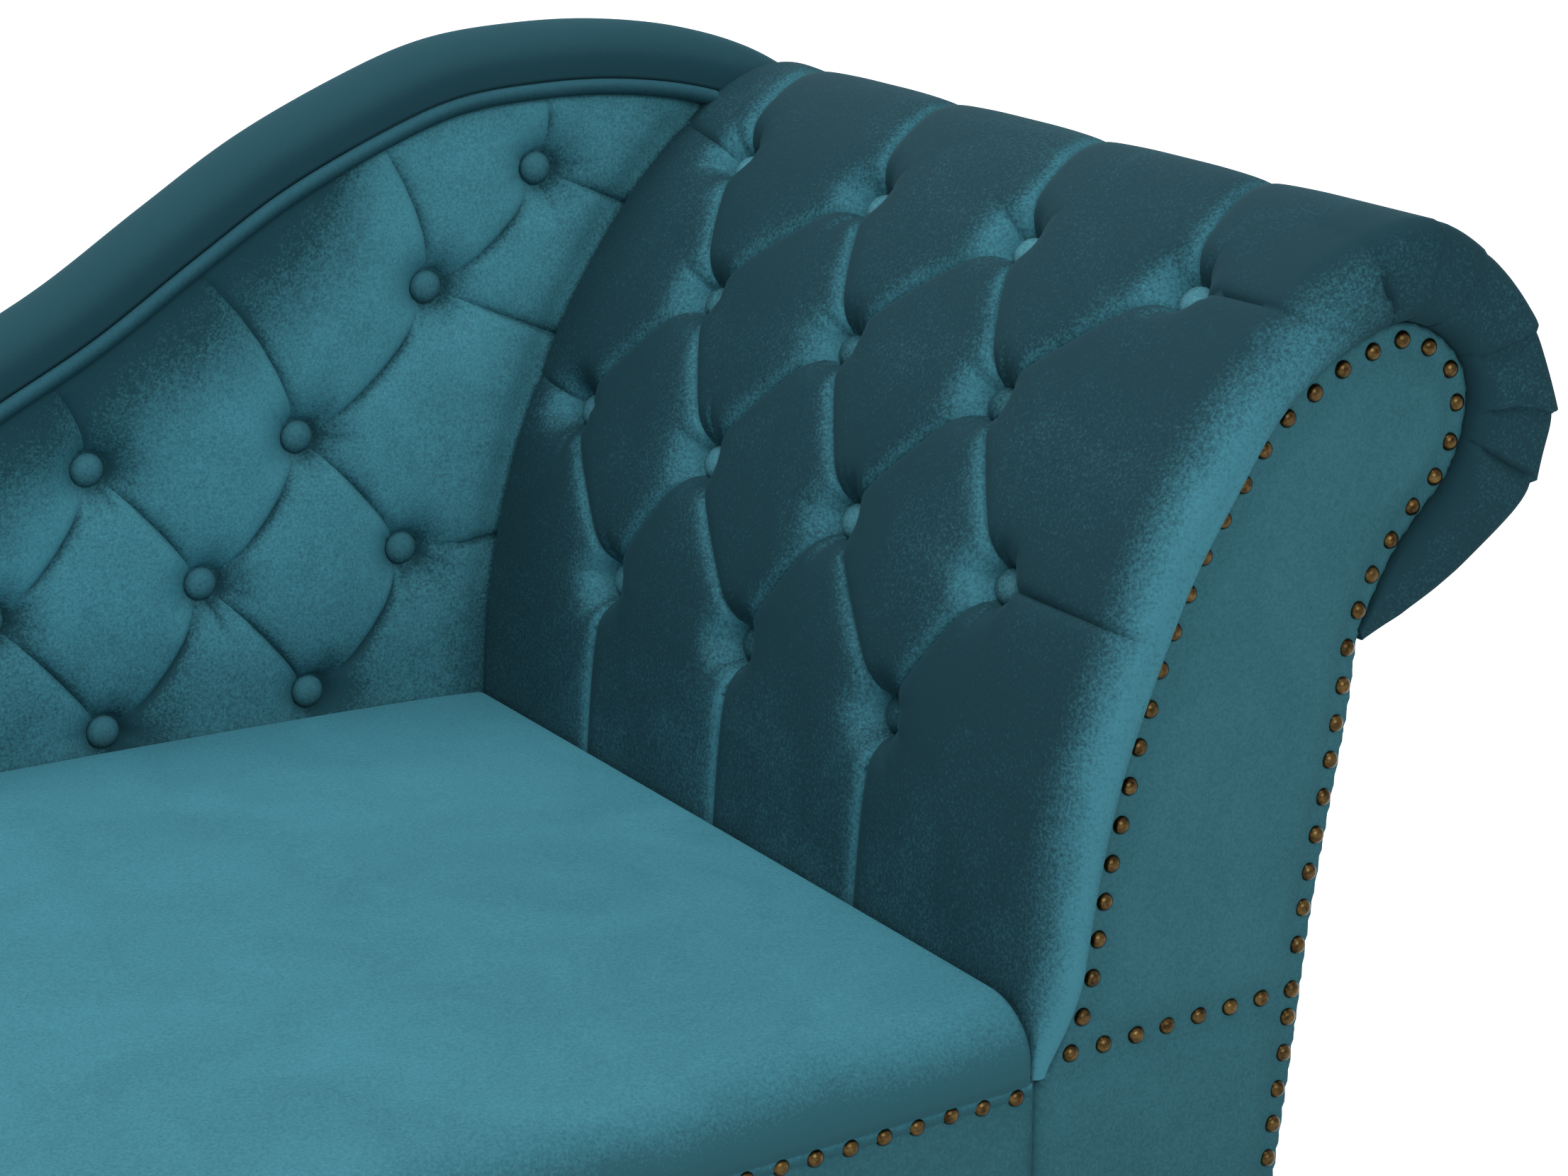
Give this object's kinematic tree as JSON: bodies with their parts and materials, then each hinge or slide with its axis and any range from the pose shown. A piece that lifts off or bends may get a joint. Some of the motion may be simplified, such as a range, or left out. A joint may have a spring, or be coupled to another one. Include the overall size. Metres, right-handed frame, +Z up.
{
  "type": "fainting couch",
  "caption": "Chaise with one scrolled, deep-buttoned arm, a low swept back with a rolled edge, a tight crowned seat, nailed front panel and turned legs.",
  "frame": {"origin": "on the floor, under the middle of the whole piece's bounding box", "axes": "+X along the length towards the scrolled arm, +Y to the back, +Z up; a sitter faces -Y"},
  "size_m": [1.65, 0.696, 0.8032],
  "materials": {
    "velvet": "short-pile velvet with a soft sheen",
    "brass": "antique, domed, worn on the crowns",
    "dark_wood": "dark stained, satin lacquer",
    "beech": "bare, planed",
    "plywood": "bare, sanded",
    "steel": "drawn spring wire",
    "black_cloth": "thin bonded cloth, matt"
  },
  "bodies": {
    "root": {"arm_button_1_1": "velvet", "arm_button_1_2": "velvet", "arm_button_1_3": "velvet", "arm_button_2_1": "velvet", "arm_button_2_2": "velvet", "arm_button_2_3": "velvet", "arm_button_2_4": "velvet", "arm_button_3_1": "velvet", "arm_button_3_2": "velvet", "arm_button_3_3": "velvet", "arm_button_4_1": "velvet", "arm_button_4_2": "velvet", "arm_button_4_3": "velvet", "arm_button_4_4": "velvet", "arm_facing_panel": "velvet", "arm_former": "plywood", "arm_front_board": "plywood", "arm_inner_rail": "beech", "arm_nail_row": "brass", "arm_pad": "velvet", "arm_rear_board": "plywood", "back_button_1": "velvet", "back_button_10": "velvet", "back_button_11": "velvet", "back_button_12": "velvet", "back_button_13": "velvet", "back_button_14": "velvet", "back_button_2": "velvet", "back_button_3": "velvet", "back_button_4": "velvet", "back_button_5": "velvet", "back_button_6": "velvet", "back_button_7": "velvet", "back_button_8": "velvet", "back_button_9": "velvet", "back_edge_roll": "velvet", "back_pad": "velvet", "back_piping": "velvet", "back_post_left": "beech", "back_scroll_board": "plywood", "back_top_rail": "beech", "centre_stretcher": "beech", "dust_cover": "black_cloth", "end_rail_cover": "velvet", "end_rail_left": "beech", "end_rail_right": "beech", "front_rail": "beech", "front_rail_cover": "velvet", "leg_board_left": "beech", "leg_board_right": "beech", "leg_front_left": "dark_wood", "leg_front_right": "dark_wood", "leg_rear_left": "dark_wood", "leg_rear_right": "dark_wood", "outside_arm_panel": "velvet", "outside_back_panel": "velvet", "rail_nail_row": "brass", "rear_rail": "beech", "seat_pad": "velvet", "seat_springs": "steel"}
  },
  "joints": []
}
